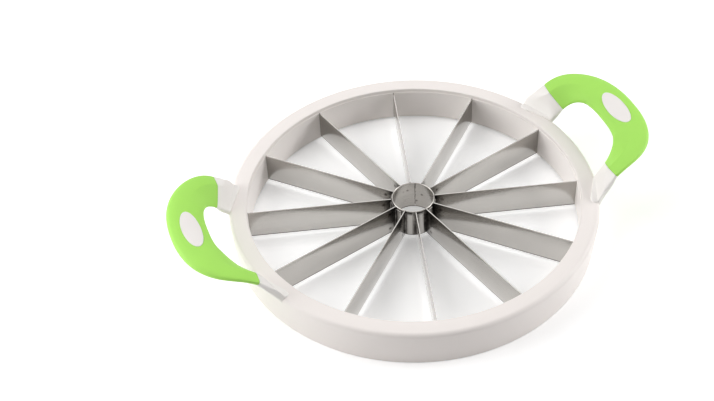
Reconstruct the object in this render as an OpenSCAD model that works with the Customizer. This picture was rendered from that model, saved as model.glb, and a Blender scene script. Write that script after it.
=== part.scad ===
/* [Ring] */
// Outer diameter of the ring at its top
ring_od = 245; // [190:0.5:300]
// Width of the ring's top face, from its outer edge to its opening
rim_w = 11.9; // [11.6:0.1:16]
// How far the outer wall leans in towards its foot
rim_draft = 1.7; // [0.5:0.1:1.8]
// Rounding of the outer top edge
rim_edge_r = 3; // [1:0.1:3.4]
// Rounding of the top edge at the opening
rim_lip_r = 0.8; // [0.3:0.1:1.2]
// Wall thickness of the hollow upper ring
rim_wall = 2.4; // [1.6:0.1:2.6]
// Thickness of the inner skirt that backs the liner
skirt_t = 1.2; // [1:0.1:1.6]
// Thickness of the liner that the blades end in
liner_t = 1.2; // [0.9:0.1:1.4]
// How far the liner stands proud of the lip above it
liner_proud = 0.35; // [0.1:0.05:0.6]
// Thickness of the top face of the upper ring
top_t = 2.8; // [2:0.1:3.5]
// Thickness of the closing ring underneath
base_t = 2.5; // [2:0.1:3]
// Thickness of the closing ring's lip, which carries liner and blades
lip_t = 1; // [0.6:0.1:1.6]
// Height of the closing ring above the table
base_recess = 1.8; // [1:0.1:4]

/* [Blades] */
// Number of blades round the core tube
blade_count = 12; // [6:1:12]
// Height of a blade
blade_h = 21.7; // [20:0.1:30]
// Thickness of the blade strip
blade_t = 0.7; // [0.4:0.05:1]
// Height of the ground cutting edge
bevel_h = 1.4; // [0.6:0.1:2.5]
// Thickness left at the cutting edge
bevel_tip = 0.2; // [0.1:0.05:0.3]
// Height of the tongue that locks a blade into the liner
tongue_h = 9; // [5:0.5:12]
// Length of that tongue past the liner's inner face
tongue_l = 2.1; // [1.4:0.1:2.3]

/* [Core tube] */
// Outer diameter of the tube
tube_od = 28.4; // [26:0.1:50]
// Wall thickness of the tube
tube_wall = 0.7; // [0.4:0.05:1.2]
// Width of the butt seam in the rolled tube
tube_seam_w = 0.25; // [0.1:0.05:0.6]
// Direction of the butt seam, counted from the right handle
tube_seam_at = 62.5; // [0:0.5:90]
// Width of each blade's bent weld tab on the tube
tab_w = 5; // [3:0.1:5.5]

/* [Handles] */
// How far each handle stands out past the ring
handle_reach = 40; // [34:0.5:55]
// Depth of the finger gap past the ring
finger_gap = 16.1; // [13:0.1:24]
// Width of the finger gap between the arms
finger_w = 62; // [56:0.5:68]
// Width across both arms
arm_span = 103; // [99:0.5:112]
// How far the arms flare outwards at the ring
root_flare = 3.4; // [0:0.1:4.5]
// How far the arms' edges lie below the ring's top face at the ring
root_sink = 1.7; // [1.2:0.1:2]
// How far inside the ring's wall the arms' outer edges come down to that height
root_run = 2; // [1:0.1:3]
// Direction that the straight edge of each root's lip faces
lip_turn = 33.5; // [31:0.5:36]
// Length of the rounded outer corner of that lip
lip_corner = 8; // [6:0.5:9]
// How far the lip laps over the ring's top edge at its inner end
lip_lap = 1; // [0.6:0.1:1.6]
// How far the lip stands proud of the ring's top face
lip_proud = 0.8; // [0.4:0.1:1.2]
// How far inside the ring's outer edge the curves of the loop have their centre
loop_set = 5; // [4:0.1:6]
// Rise of the grip's outer edge above the ring's top face
grip_rise = 23; // [14:0.5:32]
// How much lower the grip's inner edge lies
grip_dip = 4.7; // [0:0.1:8]
// How far in from the grip's tip its outer edge starts to fall towards the ring
grip_level = 12.7; // [11:0.1:14]
// The same for its inner edge, from the end of the finger gap
gap_level = 2; // [1:0.1:3]
// Crown of the grip above the line between its edges, at its middle
grip_crown = 4.7; // [4:0.1:8]
// Belly of the grip below that line, at its middle
grip_belly = 3.7; // [3:0.1:6]
// The same crown where the grip ends on the arms
arm_crown = 3.6; // [3:0.1:6]
// The same belly where the grip ends on the arms
arm_belly = 3.2; // [2.8:0.1:6]
// Depth of the gusset under the outer edge of each root
gusset_h = 7; // [3:0.1:9]
// Depth of the windows in the ring that the handle feet stand in
window_d = 7.5; // [7.2:0.1:7.8]
// How far the lips cover the edges of these windows
window_lap = 1; // [0.8:0.1:1.2]
// Thickness of the soft skin over the handle core
skin_t = 1.9; // [1:0.1:2.2]
// Length of the oval inlay along the grip
inlay_l = 33; // [24:0.5:40]
// Width of the oval inlay across the grip
inlay_w = 12.4; // [8:0.1:15]
// Distance of the inlay's centre from the grip's outer edge
inlay_set = 12.8; // [12:0.1:16]
// How far the inlay stands proud of the skin
inlay_proud = 0.35; // [0:0.05:0.8]

/* [Fasteners] */
// Number of screws that hold the closing ring
rim_screws_n = 8; // [4:2:12]
// Diameter of the screw bosses
boss_d = 6; // [5.4:0.1:6.4]
// Shank diameter of every screw
screw_d = 2.6; // [2:0.1:3]
// Head diameter of every screw
screw_head_d = 4.6; // [4:0.1:4.7]
// Head height of every screw
screw_head_h = 1.7; // [1.2:0.1:1.9]
// Length of every screw under its head
screw_l = 13; // [10:0.5:16]
// How deep a screw bites into a handle foot
handle_bite = 3.4; // [3:0.1:3.6]
// How far a boss laps into the inner skirt
boss_lap = 0.7; // [0.5:0.1:1]
// Width of the cross recess in a head
recess_w = 0.8; // [0.5:0.1:1]

/* [Fits] */
// Gap between plastic pieces that fit into each other
fit_gap = 0.15; // [0.1:0.05:0.3]
// Gap between steel pieces or the liner and their seats
steel_gap = 0.05; // [0.03:0.01:0.1]

/* [Hidden] */
$fn = 96;
BLADES = [for (i = [1 : blade_count]) str("blade_", i < 10 ? "0" : "", i)];

eps = 0.01;
ring_r = ring_od / 2;
open_r = ring_r - rim_w;
foot_r = ring_r - rim_draft;
liner_in_r = open_r - liner_proud;
liner_out_r = liner_in_r + liner_t;
skirt_in_r = liner_out_r + steel_gap;
skirt_out_r = skirt_in_r + skirt_t;

// Heights, from the table up
lip_top = base_recess + lip_t;
liner_top = lip_top + blade_h;
ring_h = liner_top + top_t;
base_top = base_recess + base_t;
skirt_foot = base_top + fit_gap;

// Blades and tube
blade_step = 360 / blade_count;
blade_phase = blade_step / 2;
tube_r = tube_od / 2;
tab_in_r = tube_r + steel_gap;
tab_angle = tab_w / tab_in_r * 180 / PI;
tongue_z = lip_top + (blade_h - tongue_h) / 2;
tongue_end_r = liner_in_r + tongue_l;

// Screws and their bosses
boss_r = skirt_out_r + boss_d / 2 - boss_lap;
pilot_d = screw_d + 2 * steel_gap;
head_seat_z = base_recess + screw_head_h + 0.2;
boss_foot = base_top + base_t;
head_hole_d = screw_head_d + 2 * (fit_gap + steel_gap);
screw_tip = head_seat_z + screw_l;

// Handle roots seen from above: each arm ends on the ring's wall, then in a lip on its top
function on_wall(v) = [sqrt((ring_r - 0.2) ^ 2 - v ^ 2), v];
lip_along = [-sin(lip_turn), cos(lip_turn)];
root_in = on_wall(finger_w / 2 + 0.2);
root_out = on_wall(arm_span / 2 + root_flare);
lip_in = root_in - [lip_lap, -0.2];
lip_len = (root_out.y - lip_in.y) / lip_along.y;
lip_tip = lip_in + lip_along * lip_len;
lip_out = lip_in + lip_along * (lip_len - lip_corner);

// Foot under the lip, in a frame turned by lip_turn: x runs outwards, y along the lip's edge
lip_x = lip_in.x * cos(lip_turn) + lip_in.y * sin(lip_turn);
foot_y0 = lip_in * lip_along + window_lap;
foot_y1 = lip_out * lip_along + 2 * window_lap;
window_x = lip_x + window_lap;
window_z = ring_h - window_d;
tongue_y0 = foot_y0 + 2 * window_lap;
tongue_y1 = foot_y1 - window_lap;
tongue_x0 = sqrt((skirt_out_r + fit_gap + 0.2) ^ 2 - min(abs(tongue_y0), abs(tongue_y1)) ^ 2);
tongue_out_r = foot_r - rim_wall / 3;
pad_out_r = foot_r - rim_wall - fit_gap;
handle_seat_z = window_z + fit_gap + handle_bite - screw_l;
handle_screw_r = skirt_out_r + screw_head_d / 2 + 0.5;
handle_screw_y = foot_y1 - 4 * window_lap;
handle_screw_x = sqrt(handle_screw_r ^ 2 - handle_screw_y ^ 2);

// Loop of the handle, seen from above: two rounded curves from one centre
out_sq = 2.34;
in_sq = 2.74;
loop_x = ring_r - loop_set;
out_reach = ring_r + handle_reach - loop_x;
in_reach = ring_r + finger_gap - loop_x;
out_end = 87;
in_end = 74.5;

// Heights of the loop's two edges
out_top_z = ring_h + grip_rise;
in_top_z = out_top_z - grip_dip;
out_level_x = ring_r + handle_reach - grip_level;
out_foot_x = root_out.x - root_run;
in_foot_x = root_in.x - 0.15 * root_run;
in_level_x = ring_r + finger_gap - gap_level;
root_z = ring_h - root_sink;
root_crown = root_sink + lip_proud;
out_rise = 3.15;
in_rise = 1.28;

// Sampling of the handle's skin
section_n = 20;
section_sq = 2.42;
root_sq = 6;
grip_steps = 26;
arm_steps = 9;
lip_steps = 6;
inlay_core_gap = 0.06;

function mix(a, b, t) = a + (b - a) * t;
function sgn_pow(x, e) = sign(x) * pow(abs(x), e);
function unit(a) = a / norm(a);
function clamp01(x) = min(1, max(0, x));
function smooth(x) = let (t = clamp01(x)) t * t * (3 - 2 * t);

// Plan of the two edges: k = 0 at the grip's middle, 1 at its end, 2 at the wall, 3 at the lip's edge
function loop_pt(reach, half, sq, a) =
    [loop_x + reach * pow(cos(a), 2 / sq), half * pow(sin(a), 2 / sq)];
function bend(a, c, b, t) = mix(mix(a, c, t), mix(c, b, t), t);
function out_plan(k) = k <= 1
    ? loop_pt(out_reach, arm_span / 2, out_sq, out_end * k)
    : k <= 2 ? mix(loop_pt(out_reach, arm_span / 2, out_sq, out_end), root_out, k - 1)
    : bend(root_out, lip_tip, lip_out, k - 2);
function in_plan(k) = k <= 1
    ? loop_pt(in_reach, finger_w / 2, in_sq, in_end * k)
    : k <= 2 ? mix(loop_pt(in_reach, finger_w / 2, in_sq, in_end), root_in, k - 1)
    : mix(root_in, lip_in, k - 2);
function edge_z(x, level_x, foot_x, top_z, rise) =
    top_z - (top_z - root_z) * pow(clamp01((level_x - x) / (level_x - foot_x)), rise);

// Outer and inner edge of the loop in space, mirrored for negative k
function side(k) = k < 0 ? -1 : 1;
function out_edge(k) = let (p = out_plan(abs(k)))
    [p.x, side(k) * p.y, edge_z(p.x, out_level_x, out_foot_x, out_top_z, out_rise)];
function in_edge(k) = let (p = in_plan(abs(k)))
    [p.x, side(k) * p.y, edge_z(p.x, in_level_x, in_foot_x, in_top_z, in_rise)];
function middle(k) = (out_edge(k) + in_edge(k)) / 2;

// Upward direction of a section: square to the path in the grip, upright at the root
function path_up(k) = unit(cross(out_edge(k) - in_edge(k), middle(k + 0.02) - middle(k - 0.02)));
function section_up(k) = unit(mix(path_up(k), [0, 0, 1], smooth(abs(k) - 1)));

// One closed section: a rounded band with its crease near the middle of each arm
function to_arm(k) = smooth((abs(k) - 0.4) / 0.6);
function crown(k) = mix(mix(grip_crown, arm_crown, to_arm(k)), root_crown, smooth(abs(k) - 1));
function belly(k, x) = mix(grip_belly, arm_belly, to_arm(k))
    + gusset_h * pow(clamp01(abs(k) - 1), 3) * pow((x + 1) / 2, 1.5);
function crease(k) = to_arm(k) * mix(0.69, 0.2, smooth(abs(k) - 1));
function ridge(x, at) = 1 - abs(x - at) / (1 - at * sign(x - at));
function section(k, inset) =
    let (o = out_edge(k), i = in_edge(k), across = unit(o - i), up = section_up(k),
         half = norm(o - i) / 2 - inset, mid = (o + i) / 2, c = crease(k),
         sq = mix(section_sq, root_sq, smooth(2 * abs(k) - 3)),
         at = mix(-0.12, 0.3, smooth(abs(k) - 1)))
    [for (j = [0 : section_n - 1])
        let (a = 360 * j / section_n,
             x = sgn_pow(cos(a), 2 / sq),
             y = sgn_pow(sin(a), 2 / sq),
             h = y > 0
                ? (crown(k) - inset) * (y * (1 - c) + c * ridge(x, at))
                : (belly(k, x) - inset) * y)
        mid + across * half * x + up * h];

// A skin through a list of closed sections, with flat ends or joined into a closed loop
function wall_faces(rows, closed) = [for (r = [0 : rows - (closed ? 1 : 2)])
    for (j = [0 : section_n - 1])
        let (a = r * section_n, b = ((r + 1) % rows) * section_n, n = (j + 1) % section_n)
        each [[a + j, b + n, b + j], [a + j, a + n, b + n]]];
module skin(sections, closed = false) {
    rows = len(sections);
    ends = closed ? [] : [[for (j = [section_n - 1 : -1 : 0]) j],
        [for (j = [0 : section_n - 1]) (rows - 1) * section_n + j]];
    polyhedron(points = [for (s = sections) each s],
        faces = concat(wall_faces(rows, closed), ends), convexity = 8);
}

function lip_list(from, to) = [for (i = [1 : lip_steps]) mix(from, to, i / lip_steps)];
function arm_list(from, to) = [for (i = [0 : arm_steps - 1]) mix(from, to, i / (arm_steps - 1))];
function grip_list(reach) = [for (i = [0 : grip_steps]) reach * (2 * i / grip_steps - 1)];

module both_ways() { for (a = [0, 180]) rotate(a) children(); }
module at_roots() { for (m = [0, 1]) mirror([0, m, 0]) rotate(lip_turn) children(); }

// Room for the handle roots in the upper ring: an open window and a pocket for the tongue
module root_window(grow) {
    translate([window_x - grow, foot_y0 - grow, window_z - grow])
        cube([2 * rim_w, foot_y1 - foot_y0 + 2 * grow, ring_h]);
}

module root_tongue(grow) {
    intersection() {
        cylinder(r = tongue_out_r + grow, h = ring_h, $fn = 192);
        translate([tongue_x0 - grow, tongue_y0 - grow, window_z - grow])
            cube([window_x + 1 - tongue_x0, tongue_y1 - tongue_y0 + 2 * grow,
                liner_top - window_z - fit_gap + 2 * grow]);
    }
}

// Right handle core: arms at full section, a thinner bar inside the grip, and two feet
module ring_keepout() {
    difference() {
        rotate_extrude($fn = 192)
            polygon(concat(outer_edge(steel_gap), [[skirt_out_r, ring_h + steel_gap],
                [skirt_out_r, 0]]));
        at_roots() root_window(-fit_gap);
    }
}

module root_foot() {
    intersection() {
        root_window(-fit_gap);
        cylinder(r1 = foot_r - eps, r2 = ring_r - eps, h = ring_h, $fn = 192);
        cylinder(r = 2 * ring_r, h = ring_h - rim_edge_r);
    }
    root_tongue(0);
}

module handle_core() {
    color([0.95, 0.93, 0.91]) difference() {
        union() {
            difference() {
                skin(concat([for (k = lip_list(-3, -2)) section(k - 1 / lip_steps, 0)],
                    [for (k = arm_list(-2, -1)) section(k, 0)],
                    [for (k = grip_list(1)) section(k, skin_t)],
                    [for (k = arm_list(1, 2)) section(k, 0)],
                    [for (k = lip_list(2, 3)) section(k, 0)]));
                ring_keepout();
            }
            at_roots() root_foot();
        }
        at_roots() translate([handle_screw_x, handle_screw_y, 0])
            cylinder(d = pilot_d, h = handle_seat_z + screw_l + 1, $fn = 32);
    }
}

// Right grip: a soft skin moulded round the core, with an oval window
module oval(grow) {
    tilt = atan2(grip_dip, handle_reach - finger_gap);
    translate([ring_r + handle_reach - inlay_set, 0, out_top_z - inlay_set * tan(tilt)])
        rotate([0, -tilt, 0]) linear_extrude(height = grip_crown + 4)
            scale([inlay_w / 2 + grow, inlay_l / 2 + grow]) circle(r = 1, $fn = 48);
}

module grip() {
    color([0.66, 0.90, 0.39]) difference() {
        skin(concat([for (k = grip_list(0.9985)) section(k, 0)],
            [for (k = grip_list(-0.9985)) section(k, skin_t - steel_gap)]), closed = true);
        oval(fit_gap / 2);
    }
}

// Oval inlay: a plug through the skin that follows the crown of the grip
module oval_inlay() {
    reach = 0.62;
    color([0.93, 0.91, 0.90]) intersection() {
        oval(0);
        skin(concat([for (k = grip_list(reach)) section(k, -inlay_proud)],
            [for (k = grip_list(-reach)) section(k, skin_t - inlay_core_gap)]), closed = true);
    }
}

// Upper ring: a channel open at the bottom, with windows for the handle roots
function outer_edge(grow) = concat([[foot_r + grow, 0]],
    [for (a = [0 : 10 : 90]) [ring_r - rim_edge_r + (rim_edge_r + grow) * cos(a),
        ring_h - rim_edge_r + (rim_edge_r + grow) * sin(a)]]);

module upper_rim_profile() {
    outer_in_top = ring_r - rim_draft * top_t / ring_h - rim_wall;
    polygon(concat(outer_edge(0),
        [for (a = [90 : 15 : 180]) [open_r + rim_lip_r + rim_lip_r * cos(a),
            ring_h - rim_lip_r + rim_lip_r * sin(a)]],
        [[open_r, liner_top], [skirt_in_r, liner_top], [skirt_in_r, skirt_foot],
         [skirt_out_r, skirt_foot], [skirt_out_r, liner_top], [outer_in_top, liner_top],
         [foot_r - rim_wall, 0]]));
}

module rim_bosses(z0, z1, d) {
    for (i = [0 : rim_screws_n - 1]) rotate(360 * i / rim_screws_n)
        translate([boss_r, 0, z0]) cylinder(d = d, h = z1 - z0, $fn = 32);
}

module tongue_slots() {
    slot_w = blade_t + 2 * steel_gap;
    for (i = [0 : blade_count - 1]) rotate(blade_phase + blade_step * i)
        translate([liner_in_r - 1, -slot_w / 2, tongue_z - steel_gap])
            cube([tongue_l + 1 + steel_gap, slot_w, tongue_h + 2 * steel_gap]);
}

module upper_rim() {
    color([0.96, 0.945, 0.925]) difference() {
        union() {
            rotate_extrude($fn = 192) upper_rim_profile();
            rim_bosses(boss_foot, liner_top + eps, boss_d);
        }
        rim_bosses(0, screw_tip + 1, pilot_d);
        tongue_slots();
        both_ways() at_roots() {
            root_window(0);
            root_tongue(fit_gap);
        }
    }
}

// Closing ring: clamps the liner from below and carries the pads for the handle feet
module root_pad() {
    intersection() {
        cylinder(r = pad_out_r, h = ring_h, $fn = 192);
        translate([tongue_x0, tongue_y0, base_recess])
            cube([2 * rim_w, tongue_y1 - tongue_y0, window_z - fit_gap - base_recess]);
    }
}

module lower_rim() {
    out_r = foot_r - rim_wall - fit_gap;
    color([0.94, 0.925, 0.90]) difference() {
        union() {
            rotate_extrude($fn = 192) polygon([[open_r, base_recess], [out_r, base_recess],
                [out_r, base_top], [skirt_in_r, base_top], [skirt_in_r, lip_top],
                [open_r, lip_top]]);
            rim_bosses(base_top - eps, boss_foot - fit_gap, boss_d);
            both_ways() at_roots() root_pad();
        }
        rim_bosses(-eps, head_seat_z, head_hole_d);
        rim_bosses(-eps, ring_h, pilot_d);
        both_ways() at_roots() translate([handle_screw_x, handle_screw_y, 0]) {
            cylinder(d = head_hole_d, h = handle_seat_z);
            cylinder(d = pilot_d, h = ring_h, $fn = 32);
        }
    }
}

// Liner: a plain hoop between the two rings, slotted for the blade tongues
module inner_liner() {
    color([0.94, 0.92, 0.90]) difference() {
        translate([0, 0, lip_top]) cylinder(r = liner_out_r, h = blade_h, $fn = 192);
        translate([0, 0, lip_top - 1]) cylinder(r = liner_in_r, h = blade_h + 2, $fn = 192);
        tongue_slots();
    }
}

// Core tube: rolled from strip, so it has a butt seam
module core_tube() {
    color([0.78, 0.78, 0.77]) difference() {
        translate([0, 0, lip_top]) cylinder(r = tube_r, h = blade_h);
        translate([0, 0, lip_top - 1]) cylinder(r = tube_r - tube_wall, h = blade_h + 2);
        rotate(tube_seam_at) translate([tube_r - 2 * tube_wall, -tube_seam_w / 2, lip_top - 1])
            cube([3 * tube_wall, tube_seam_w, blade_h + 2]);
    }
}

// Blade: ground strip, weld tab bent along the tube, and a tongue through the liner
module blade_tab() {
    tab_out_r = tab_in_r + blade_t;
    intersection() {
        difference() {
            circle(r = tab_out_r);
            circle(r = tab_in_r);
        }
        polygon([[0, -blade_t / 2], [2 * tab_out_r, -blade_t / 2],
            [2 * tab_out_r * cos(tab_angle), 2 * tab_out_r * sin(tab_angle)]]);
    }
}

module blade(i) {
    tab_foot = lip_top + bevel_h;
    plate_x = tab_in_r + blade_t / 2;
    color([0.80, 0.80, 0.79]) rotate(blade_phase + blade_step * i) {
        translate([plate_x, 0, 0]) rotate([90, 0, 90])
            linear_extrude(height = liner_in_r - plate_x)
                polygon([[-blade_t / 2, tab_foot], [-bevel_tip / 2, lip_top],
                    [bevel_tip / 2, lip_top], [blade_t / 2, tab_foot],
                    [blade_t / 2, liner_top], [-blade_t / 2, liner_top]]);
        translate([liner_in_r - 3, -blade_t / 2, tongue_z])
            cube([tongue_end_r - liner_in_r + 3, blade_t, tongue_h]);
        translate([0, 0, tab_foot]) linear_extrude(height = liner_top - tab_foot) blade_tab();
    }
}

module screw(seat_z) {
    color([0.7, 0.7, 0.72]) translate([0, 0, seat_z]) {
        cylinder(d = screw_d, h = screw_l, $fn = 32);
        difference() {
            translate([0, 0, -screw_head_h]) cylinder(d = screw_head_d, h = screw_head_h);
            for (a = [0, 90]) rotate(a)
                translate([-screw_head_d / 3, -recess_w / 2, -screw_head_h - 1])
                    cube([screw_head_d * 2 / 3, recess_w, screw_head_h]);
        }
    }
}

module rim_screws() {
    for (i = [0 : rim_screws_n - 1]) rotate(360 * i / rim_screws_n)
        translate([boss_r, 0, 0]) screw(head_seat_z);
}

module handle_screws() {
    both_ways() at_roots()
        translate([handle_screw_x, handle_screw_y, 0]) screw(handle_seat_z);
}

upper_rim();
lower_rim();
inner_liner();
core_tube();
for (i = [0 : blade_count - 1]) blade(i);
handle_core();  // handle_core_right
rotate(180) handle_core();  // handle_core_left
grip();  // grip_right
rotate(180) grip();  // grip_left
oval_inlay();  // oval_inlay_right
rotate(180) oval_inlay();  // oval_inlay_left
rim_screws();
handle_screws();
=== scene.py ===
"""Watermelon slicer: the looks of the part, built round its solids.

Twelve steel blades run from a core tube to the white liner of a hollow ring.
Two raised loop handles with soft green grips stand out from the ring.
"""

import math

import bpy
import numpy as np
from bpy.props import FloatProperty, FloatVectorProperty, IntProperty, PointerProperty
from mathutils import Matrix, Vector
from mathutils.bvhtree import BVHTree


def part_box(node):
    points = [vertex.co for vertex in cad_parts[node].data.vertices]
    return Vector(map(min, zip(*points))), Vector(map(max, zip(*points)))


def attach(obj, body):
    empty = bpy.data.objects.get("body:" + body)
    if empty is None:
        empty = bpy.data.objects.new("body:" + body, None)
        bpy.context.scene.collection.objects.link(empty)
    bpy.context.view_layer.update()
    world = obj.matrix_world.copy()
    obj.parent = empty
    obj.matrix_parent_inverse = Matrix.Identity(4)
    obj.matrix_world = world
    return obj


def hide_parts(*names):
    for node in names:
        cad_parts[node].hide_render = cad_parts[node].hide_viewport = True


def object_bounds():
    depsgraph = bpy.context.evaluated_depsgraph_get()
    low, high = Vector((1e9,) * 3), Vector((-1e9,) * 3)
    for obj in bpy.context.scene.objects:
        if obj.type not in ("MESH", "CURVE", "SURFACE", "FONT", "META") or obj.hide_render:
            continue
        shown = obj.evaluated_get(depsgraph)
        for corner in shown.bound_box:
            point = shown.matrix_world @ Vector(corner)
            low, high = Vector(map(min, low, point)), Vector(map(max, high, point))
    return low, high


bl_info = {
    "name": "Watermelon slicer",
    "version": (1, 0, 0),
    "blender": (4, 5, 0),
    "location": "View3D > Sidebar > Slicer",
    "description": "Ring slicer with twelve blades, a core tube and two gripped loop handles",
    "category": "Add Mesh",
}

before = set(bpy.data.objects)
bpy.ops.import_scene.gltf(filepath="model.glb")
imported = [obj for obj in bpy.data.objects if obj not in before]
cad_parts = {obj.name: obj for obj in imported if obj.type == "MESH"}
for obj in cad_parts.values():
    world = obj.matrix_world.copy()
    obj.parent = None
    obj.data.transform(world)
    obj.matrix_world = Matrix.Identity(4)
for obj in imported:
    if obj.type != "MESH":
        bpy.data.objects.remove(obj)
CAD_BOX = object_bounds()
RIM_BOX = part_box("upper_rim")
BASE_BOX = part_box("lower_rim")
LINER_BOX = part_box("inner_liner")
TUBE_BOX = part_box("core_tube")
BLADES = [name for name in sorted(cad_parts) if name.startswith("blade_")]

TAU = 2 * math.pi
# Edges sharper than this stay crisp
SMOOTH_EDGE = math.radians(38)
# Gaps of the part's source: beside thin steel and skins, and round seated plastic
THIN_GAP, SEAT_GAP = 0.00005, 0.00015
# Steps round the oval inlay and its window
OVAL_SIDES = 96
# What is repeated round the axis sits on this one point
AXIS_POINT = [(0.0, 0.0, 0.0)]


# Sizes and colours that a user would change

def length(name, text, metres):
    """A length in metres."""
    return FloatProperty(name=name, description=text, default=metres, min=0.0,
                         unit="LENGTH", subtype="DISTANCE", precision=5)


def angle(name, text, degrees):
    """An angle, given in degrees and kept in radians."""
    return FloatProperty(name=name, description=text, default=math.radians(degrees),
                         unit="ROTATION", subtype="ANGLE")


def srgb(code):
    """An sRGB hex colour as linear red, green, blue and alpha."""
    parts = [int(code[i:i + 2], 16) / 255 for i in (0, 2, 4)]
    return [p / 12.92 if p <= 0.04045 else ((p + 0.055) / 1.055) ** 2.4 for p in parts] + [1.0]


def colour(name, text, code):
    """A colour, given as an sRGB hex code."""
    return FloatVectorProperty(name=name, description=text, default=srgb(code), size=4,
                               min=0.0, max=1.0, subtype="COLOR")


class RingSizes(bpy.types.PropertyGroup):
    """Sizes of the hollow ring and its liner"""
    outer_r: length("Outer radius", "Radius of the ring's outer edge", RIM_BOX[1].x)
    height: length("Height", "Height of the ring's top face", RIM_BOX[1].z)
    rim_w: length("Rim width", "Width of the ring's top face", 0.0119)
    draft: length("Draft", "How far the outer wall leans in at its foot", 0.0017)
    edge_r: length("Edge radius", "Rounding of the outer top edge", 0.003)
    lip_r: length("Lip radius", "Rounding of the top edge at the opening", 0.0008)
    wall: length("Wall", "Thickness of the outer wall", 0.0024)
    skirt_t: length("Skirt", "Thickness of the inner skirt behind the liner", 0.0012)
    foot_r: length("Foot radius", "Rounding of the foot's two edges", 0.0005)
    liner_t: length("Liner", "Thickness of the liner", 0.0012)
    liner_proud: length("Liner step", "How far the liner stands proud of the lip", 0.00035)
    base_t: length("Closing ring", "Thickness of the closing ring below the skirt", 0.0025)
    segments: IntProperty(name="Segments", description="Steps round the ring",
                          default=360, min=48, max=720)


class BladeSizes(bpy.types.PropertyGroup):
    """Sizes of the blades"""
    count: IntProperty(name="Blades", description="Number of blades", default=len(BLADES),
                       min=6, max=12)
    thickness: length("Thickness", "Thickness of the blade strip", 0.0007)
    bevel_h: length("Ground edge", "Height of the ground cutting edge", 0.0014)
    bevel_tip: length("Edge land", "Thickness left at the cutting edge", 0.0002)
    back_r: length("Back radius", "Rounding of the blade's upper edges", 0.00012)
    end_lap: length("End lap", "How far the blade's end runs into the liner", 0.0004)
    tab_w: length("Weld tab", "Width of the tab that is bent along the tube", 0.005)
    bend_r: length("Bend radius", "Inner radius of that bend", 0.0004)
    tab_drop: length("Tab drop", "How far the tab's top lies below the blade's", 0.0014)


class TubeSizes(bpy.types.PropertyGroup):
    """Sizes of the core tube and its weld marks"""
    wall: length("Wall", "Wall thickness of the tube", 0.0007)
    seam_w: length("Seam", "Width of the butt seam", 0.00025)
    seam_at: angle("Seam direction", "Direction of the seam from the right handle", 62.5)
    weld_r: length("Weld mark", "Radius of a spot weld's mark", 0.0011)
    weld_out: length("Weld height", "How far a weld mark stands proud", 0.00012)


class HandleSizes(bpy.types.PropertyGroup):
    """Sizes of the two loop handles"""
    reach: length("Reach", "How far a handle stands out past the ring", 0.04)
    finger_gap: length("Finger gap", "Depth of the gap past the ring", 0.0161)
    finger_w: length("Gap width", "Width of the gap between the arms", 0.062)
    arm_span: length("Arm span", "Width across both arms", 0.103)
    root_flare: length("Root flare", "How far the arms flare at the ring", 0.0034)
    lip_turn: angle("Lip turn", "Direction that the root's lip faces", 33.5)
    lip_corner: length("Lip corner", "Length of the lip's rounded outer corner", 0.008)
    lip_lap: length("Lip lap", "How far the lip laps over the ring's edge", 0.001)
    lip_proud: length("Lip height", "How far the lip stands proud of the ring", 0.001)
    lip_fall: length("Lip fall", "How far the lip falls from the wall to its edge", 0.0008)
    rise: length("Rise", "Rise of the grip's outer edge above the ring", 0.023)
    dip: length("Dip", "How much lower the grip's inner edge lies", 0.0047)
    grip_crown: length("Crown", "Crown of the grip at its middle", 0.0047)
    grip_belly: length("Belly", "Belly of the grip at its middle", 0.0037)
    arm_crown: length("Arm crown", "Crown of the arms", 0.0036)
    arm_belly: length("Arm belly", "Belly of the arms", 0.0032)
    gusset: length("Gusset", "Depth of the gusset under each root", 0.007)
    skin_t: length("Skin", "Thickness of the soft skin", 0.0019)
    joint_r: length("Skin end", "Rounding of the skin where it meets an arm", 0.00025)
    inlay_l: length("Inlay length", "Length of the oval inlay", 0.033)
    inlay_w: length("Inlay width", "Width of the oval inlay", 0.0124)
    inlay_set: length("Inlay place", "Inlay's centre from the grip's outer edge", 0.0128)
    inlay_proud: length("Inlay height", "How far the inlay stands proud", 0.00035)
    inlay_gap: length("Inlay gap", "Gap between inlay and skin", 0.0001)


class ScrewSizes(bpy.types.PropertyGroup):
    """Sizes of the screws underneath"""
    rim_count: IntProperty(name="Ring screws", description="Screws of the closing ring",
                           default=8, min=4, max=12)
    head_d: length("Head", "Diameter of the head", 0.0046)
    head_h: length("Head height", "Height of the head", 0.0017)
    shank_d: length("Shank", "Diameter of the shank", 0.0026)
    shank_l: length("Shank length", "Length of the shank below the head", 0.013)
    point_l: length("Point", "Length of the shank's tapered end", 0.002)
    recess_w: length("Recess width", "Width of the cross recess's slots", 0.0008)
    recess_deep: length("Recess depth", "Depth of the cross recess", 0.001)


class Finishes(bpy.types.PropertyGroup):
    """Colours of the finishes"""
    ring: colour("Ring", "Moulded plastic of the ring", "F7F0EC")
    handle: colour("Handle", "Moulded plastic of the handle cores", "F9F5F1")
    liner: colour("Liner", "Moulded plastic of the liner", "FAF4F0")
    base: colour("Closing ring", "Moulded plastic underneath", "F2EDE7")
    inlay: colour("Inlay", "Moulded plastic of the oval inlays", "F5F0ED")
    grip: colour("Grip", "Soft-touch skin of the grips", "A9E65F")
    blade: colour("Blade", "Cold-rolled strip of the blades", "B4B1AD")
    tube: colour("Tube", "Rolled strip of the core tube", "B4B0AB")
    screw: colour("Screw", "Plated steel of the screws", "ABABAD")
    floor: colour("Floor", "Plain studio floor", "FAFAFA")


# Small helpers

def feed(tree, made, inputs):
    """Sets a node's inputs, each to a value, a socket or another node's first output."""
    for name, value in inputs.items():
        if isinstance(value, bpy.types.Node):
            value = value.outputs[0]
        if isinstance(value, bpy.types.NodeSocket):
            tree.links.new(value, made.inputs[name])
        else:
            made.inputs[name].default_value = value


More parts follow.
